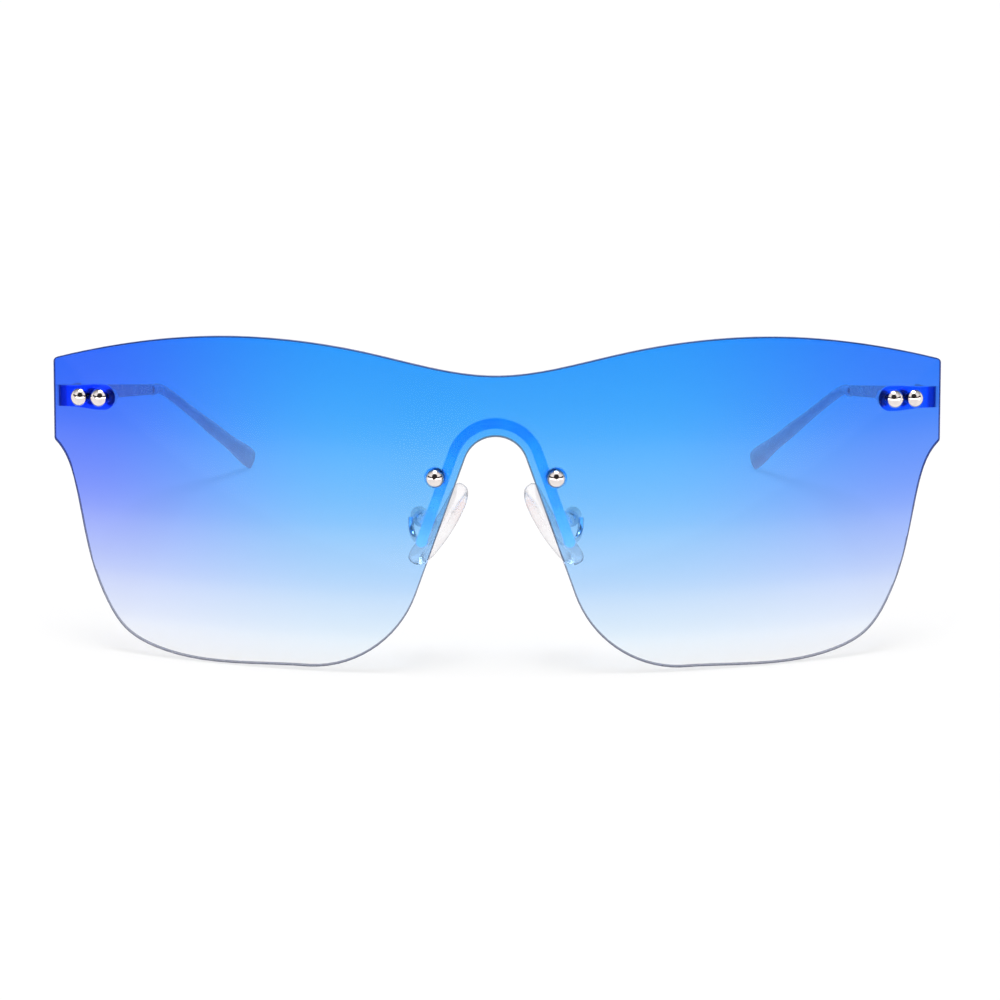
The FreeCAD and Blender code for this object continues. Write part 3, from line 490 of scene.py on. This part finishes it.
# %% Nose pad rim and slices
PAD_ROUND = 0.9 * MM
PAD_ROUND_STEPS = 6
PAD_SLICES = 15
PAD_STRIPS = 6
PAD_MERGE = 0.02 * MM


def on_one_side(line):
    """True for an edge that stays on one flat side of the pad."""
    first, second = [pad.data.vertices[number].co.x for number in line.vertices]
    return abs(first - second) < SKIN


mark_parts(pad, "edges", "EDGE", on_one_side)
bpy.ops.mesh.bevel(offset=PAD_ROUND, segments=PAD_ROUND_STEPS, profile=0.5, affect="EDGES")
for number in range(PAD_SLICES):
    slice_all((0, 0, PAD_LENGTH * ((number + 1) / (PAD_SLICES + 1) - 0.5)), (0, 0, 1))
for number in range(1, PAD_STRIPS):
    slice_all((0, PAD_LOW_RADIUS * (2 * number / PAD_STRIPS - 1), 0), (0, 1, 0))
bpy.ops.mesh.select_all(action="SELECT")
bpy.ops.mesh.remove_doubles(threshold=PAD_MERGE)
bpy.ops.mesh.normals_make_consistent(inside=False)
out_of_edit_mode()
print("pad faces", len(pad.data.polygons))

# %% [markdown]
# The disc is bent back along its length, as the CAD pad is, and its nose side is drawn a little fuller
# across, because silicone is moulded without flat spots. Then it goes to its clasp: its own Y is the
# clasp's axis, and its own Z runs up the pad.

# %% Nose pad crown and place
PAD_FULLNESS = 0.25 * MM
PAD_CROWN = 28 * MM
PAD_STANDOFF = 3.1 * MM
PAD_RISE = 0.5 * MM
PAD_LEAN = radians(33.5)

for point in pad.data.vertices:
    share = min(1.0, (point.co.y / PAD_LOW_RADIUS) ** 2)
    if point.co.x < 0:
        point.co.x += PAD_FULLNESS * share
    point.co.x += point.co.z**2 / (2 * PAD_CROWN)
    point.co.x -= PAD_STANDOFF + PAD_THICKNESS / 2
    point.co.z += PAD_RISE
pad_joint = next(joint for joint in frame["joints"] if joint["name"] == "left_pad_rock")
clasp_axis = Vector(pad_joint["axis"]).normalized()
up_pad = Matrix.Rotation(-lean, 3, "X") @ Vector((-sin(PAD_LEAN), 0, cos(PAD_LEAN)))
clasp_turn = Matrix((clasp_axis.cross(up_pad), clasp_axis, up_pad)).transposed()
clasp_place = Matrix.Translation(pad_joint["pos_m"]) @ clasp_turn.to_4x4()
pad.data.transform(clasp_place)
pick(pad)
bpy.ops.object.shade_smooth()
print("pad leans by", round(degrees(PAD_LEAN), 1), "degrees")

# %% [markdown]
# The right pad is the left one mirrored. A mirrored mesh is inside out, so its faces are turned round.
# Both ride on the pads' own bodies, and so rock with them.

# %% Pair of nose pads
other_pad = pad.copy()
other_pad.data = pad.data.copy()
other_pad.name = "nose_pad_silicone_right"
scene.collection.objects.link(other_pad)
other_pad.data.transform(Matrix.Scale(-1, 4, (1, 0, 0)))
other_pad.data.flip_normals()
for piece, side in ((pad, "left"), (other_pad, "right")):
    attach(piece, side + "_pad")
    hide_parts("nose_pad_" + side)
    low = [min(point.co[axis] for point in piece.data.vertices) for axis in range(3)]
    high = [max(point.co[axis] for point in piece.data.vertices) for axis in range(3)]
    print(piece.name, [round(value / MM, 2) for value in low + high])

# %% [markdown]
# ## Silicone
# Clear silicone is never quite clear: it lets light through, but fine bubbles and skin grease turn it
# milky in soft patches. Where the surface turns away from the view, the colour is painted greyer:
# Layer Weight gives that painted rim shade, a darker outline round the pad.

# %% Silicone
SILICONE_CLEAR = colour(254, 253, 254)
SILICONE_MILKY = colour(250, 247, 249)
# The rim colour is painted shade for the pad's outline, not a colour of the silicone.
SILICONE_PAINTED_RIM_SHADE = colour(126, 119, 127)

silicone, place, feed = finish("pad_silicone", Transmission_Weight=1.0, IOR=1.12)
milk = place.noise(0.5 * PER_MM, 3.0).fade(0.3, 0.7)
# Painted shade: Layer Weight greys the rim where the surface turns away from the view.
painted_rim_shade = place.node("ShaderNodeLayerWeight", {}, {"Blend": 0.5}, out="Facing").fade(0.5, 0.97)
feed("Base Color", painted_rim_shade.blend(milk.blend(SILICONE_CLEAR, SILICONE_MILKY), SILICONE_PAINTED_RIM_SHADE))
feed("Roughness", 0.2 + milk * 0.08)
for piece in (pad, other_pad):
    piece.data.materials.clear()
    piece.data.materials.append(silicone)
print("silicone on", pad.name, "and", other_pad.name)

# %% [markdown]
# ## Metal
# The bridge, end pieces, hinges and pad arms are plated and lightly brushed. The brushing is a noise that
# is stretched along the wire, and it moves the roughness and the surface by a hair. The temples have the
# same brushing under a rose plating.

# %% Satin metal
SILVER = ((0.79, 0.84, 0.87, 1), (0.66, 0.71, 0.75, 1))
ROSE = ((0.99, 0.60, 0.54, 1), (0.94, 0.53, 0.49, 1))
BRUSH_STRETCH = (1, 0.03, 1)
BRUSH_DEPTH = 0.003 * MM


def satin_metal(name, bright_and_deep, dull):
    material, place, feed = finish(name, Metallic=1.0)
    streaks = place.stretched(BRUSH_STRETCH).noise(9 * PER_MM, 3.0)
    clouds = place.noise(0.25 * PER_MM)
    feed("Base Color", clouds.fade(0.3, 0.7).blend(*bright_and_deep))
    feed("Roughness", dull + streaks * 0.14)
    feed("Normal", streaks.bump(BRUSH_DEPTH, 0.06))
    return material


silver_plate = satin_metal("satin_silver", SILVER, 0.22)
dress(silver_plate, "silver_metal", "bridge_bar", "endpiece", "front_hinge", "pad_arm")
rose_plate = satin_metal("satin_rose", ROSE, 0.2)
dress(rose_plate, "temple_plate", "temple", "temple_hinge")

# %% [markdown]
# The stud heads are the only bright spots in front of the lens, so they are polished like a mirror, with
# faint wiping marks. Their nuts and the screws are turned steel, which keeps fine tool marks.

# %% Chrome and steel
CHROME = ((0.84, 0.765, 0.74, 1), (0.77, 0.70, 0.68, 1))
STEEL = ((0.94, 0.94, 0.95, 1), (0.84, 0.84, 0.86, 1))
TOOL_MARK = 0.004 * MM

chrome, place, feed = finish("stud_chrome", Metallic=1.0)
wiping = place.noise(1.2 * PER_MM, 3.0).fade(0.35, 0.75)
feed("Base Color", wiping.blend(*CHROME))
feed("Roughness", 0.04 + wiping * 0.06)
dress(chrome, "stud_chrome", "end_studs", "bridge_studs")

steel, place, feed = finish("turned_steel", Metallic=1.0)
turning = place.noise(7 * PER_MM, 3.0)
feed("Base Color", turning.blend(*STEEL))
feed("Roughness", 0.18 + turning * 0.2)
feed("Normal", turning.bump(TOOL_MARK, 0.25))
dress(steel, "screw_steel", "end_nuts", "bridge_nuts", "hinge_screw", "pad_screw")

# %% [markdown]
# ## Bushes, pad cores and tips
# The bushes are moulded in clear nylon, which is a little hazy. A noise makes the haze uneven, and so keeps
# the small rings from looking like cut glass.

# %% Nylon
NYLON = ((0.97, 0.98, 1.0, 1), (0.86, 0.88, 0.92, 1))

nylon, place, feed = finish("clear_nylon", Transmission_Weight=0.95, IOR=1.06)
haze = place.noise(0.9 * PER_MM).fade(0.35, 0.7)
feed("Base Color", haze.blend(*NYLON))
feed("Roughness", 0.12 + haze * 0.15)
dress(nylon, "clear_bush", "end_bushes", "bridge_bushes")

# %% [markdown]
# The core of each nose pad is a clear plastic that bends light as silicone does, so it all but vanishes
# inside the pad: that is why its own bending is set close to none. Only its tab shows, at the clasp. The
# distance from the clasp tells the two apart. The signs of a place are dropped first, so that one finish
# does both sides.

# %% Core plastic
CORE_TAB = (0.66, 0.69, 0.73, 1)
CORE_CLEAR = (0.985, 0.985, 0.99, 1)
TAB_ENDS = (2.6 * MM, 3.3 * MM)

core, place, feed = finish("core_plastic", Transmission_Weight=1.0, IOR=1.03)
either_side = place.node("ShaderNodeVectorMath", {"operation": "ABSOLUTE"}, {0: place})
clasp = Vector([abs(value) for value in pad_joint["pos_m"]])
in_pad = either_side.apart_from(clasp).fade(*TAB_ENDS)
feed("Base Color", in_pad.blend(CORE_TAB, CORE_CLEAR))
feed("Roughness", 0.1 + place.noise(1.5 * PER_MM) * 0.1)
dress(core, "clear_bush", "pad_core")

# %% [markdown]
# The tips are tumbled acetate, a cloudy blush. Its swirls run along the temple, as the sheet was rolled,
# and it takes its polish unevenly.

# %% Acetate
BLUSH = ((0.97, 0.63, 0.60, 1), (0.91, 0.55, 0.54, 1))
SWIRL_STRETCH = (1, 0.35, 1)

acetate, place, feed = finish("tip_acetate", IOR=1.47, Coat_Weight=0.3, Coat_Roughness=0.05)
swirl = place.stretched(SWIRL_STRETCH).noise(0.42 * PER_MM, 4.0).fade(0.3, 0.72)
feed("Base Color", swirl.blend(*BLUSH))
feed("Roughness", 0.2 + place.noise(1.5 * PER_MM).fade(0.4, 0.8) * 0.15)
dress(acetate, "tip_acetate", "temple_tip")

# %% [markdown]
# ## Floor
# The photograph was taken on a white light table, bright enough to leave no horizon and only a faint
# shadow. So most of the floor's white is its own glow, which no shadow can darken, and the rest is paper in
# the light.

# %% Floor
FLOOR_WIDTH = 12.0
FLOOR_GAP = 0.02 * MM
FLOOR_GLOW = 0.75
PAPER = ((0.215, 0.215, 0.215, 1), (0.205, 0.205, 0.205, 1))

leave_selection()
bpy.ops.mesh.primitive_plane_add(size=FLOOR_WIDTH, location=(0, 0, -FLOOR_GAP))
floor = bpy.context.active_object
floor.name = "floor"
bpy.ops.object.transform_apply(location=True)
table, place, feed = finish("light_table", Specular_IOR_Level=0.0, Roughness=0.8)
feed("Emission Color", WHITE)
feed("Emission Strength", FLOOR_GLOW)
feed("Base Color", place.noise(0.06 * PER_MM, 4.0).blend(*PAPER))
floor.data.materials.append(table)
print("floor", FLOOR_WIDTH, "m wide, with a glow of", FLOOR_GLOW)

# %% [markdown]
# ## Light
# Soft light comes from a white tent all round. Lamps would leave hard spots on the polished studs, so the
# tent is the world itself. Polished metal needs something dark to show its shape, so the tent has a dark
# shelf behind the camera with a rounded shadow in its middle.

# %% Shades of the tent
SHELF_LOW = radians(13)
SHELF_HIGH = radians(24)
SHELF_SIDE = radians(95)
BLOB_HEIGHT = radians(36)
BLOB_TURN = radians(28)
SOFT = radians(3)
DARK = (0.03, 0.028, 0.03, 1)

sky = bpy.data.worlds.new("white_tent")
sky.use_nodes = True
scene.world = sky
tent = sky.node_tree
backdrop = tent.nodes["Background"]
way = Flow(tent, tent.nodes.new("ShaderNodeTexCoord").outputs["Generated"])
nearer = 0.0 - way.along("Y")
upward = way.along("Z")
over_foot_of_shelf = upward.fade(sin(SHELF_LOW - SOFT), sin(SHELF_LOW))
over_shelf = upward.fade(sin(SHELF_HIGH), sin(SHELF_HIGH + SOFT))
beside = nearer.fade(cos(SHELF_SIDE + SOFT), cos(SHELF_SIDE))
shelf = over_foot_of_shelf * (1.0 - over_shelf) * beside
to_blob = Vector((0, -cos(BLOB_HEIGHT), sin(BLOB_HEIGHT)))
blob = way.towards(to_blob).fade(cos(BLOB_TURN + SOFT), cos(BLOB_TURN))
join(tent, shelf.or_more(blob).blend(WHITE, DARK), backdrop.inputs["Color"])
print("dark shelf", round(degrees(SHELF_HIGH - SHELF_LOW)), "degrees high")

# %% [markdown]
# A brighter panel hangs overhead. The tent's foot in front is bright as well, because the metal behind the
# lens mirrors it through the tint, and high up behind the glasses the tent is grey, so that the metal
# keeps its shape from the back.

# %% Strength of the tent
PANEL_TURN = radians(12)
PANEL_STRENGTH = 14.0
FOOT_STRENGTH = 4.2
FOOT_HIGH = radians(9)
FOOT_SIDES = (radians(81), radians(63))
BACK_HIGH = (radians(20), radians(34))
BACK_SPREAD = 0.3
BACK_SHADE = 0.6

panel = upward.fade(cos(PANEL_TURN + SOFT), cos(PANEL_TURN))
low = 1.0 - upward.fade(sin(FOOT_HIGH), sin(FOOT_HIGH + SOFT))
foot = low * nearer.fade(*[cos(side) for side in FOOT_SIDES])
behind = 1.0 - nearer.fade(-BACK_SPREAD, BACK_SPREAD)
grey = upward.fade(*[sin(level) for level in BACK_HIGH]) * behind * BACK_SHADE
brightness = 1.0 - grey + panel * (PANEL_STRENGTH - 1.0) + foot * (FOOT_STRENGTH - 1.0)
join(tent, brightness, backdrop.inputs["Strength"])
print("panel", PANEL_STRENGTH, "and foot", FOOT_STRENGTH, "times the tent")
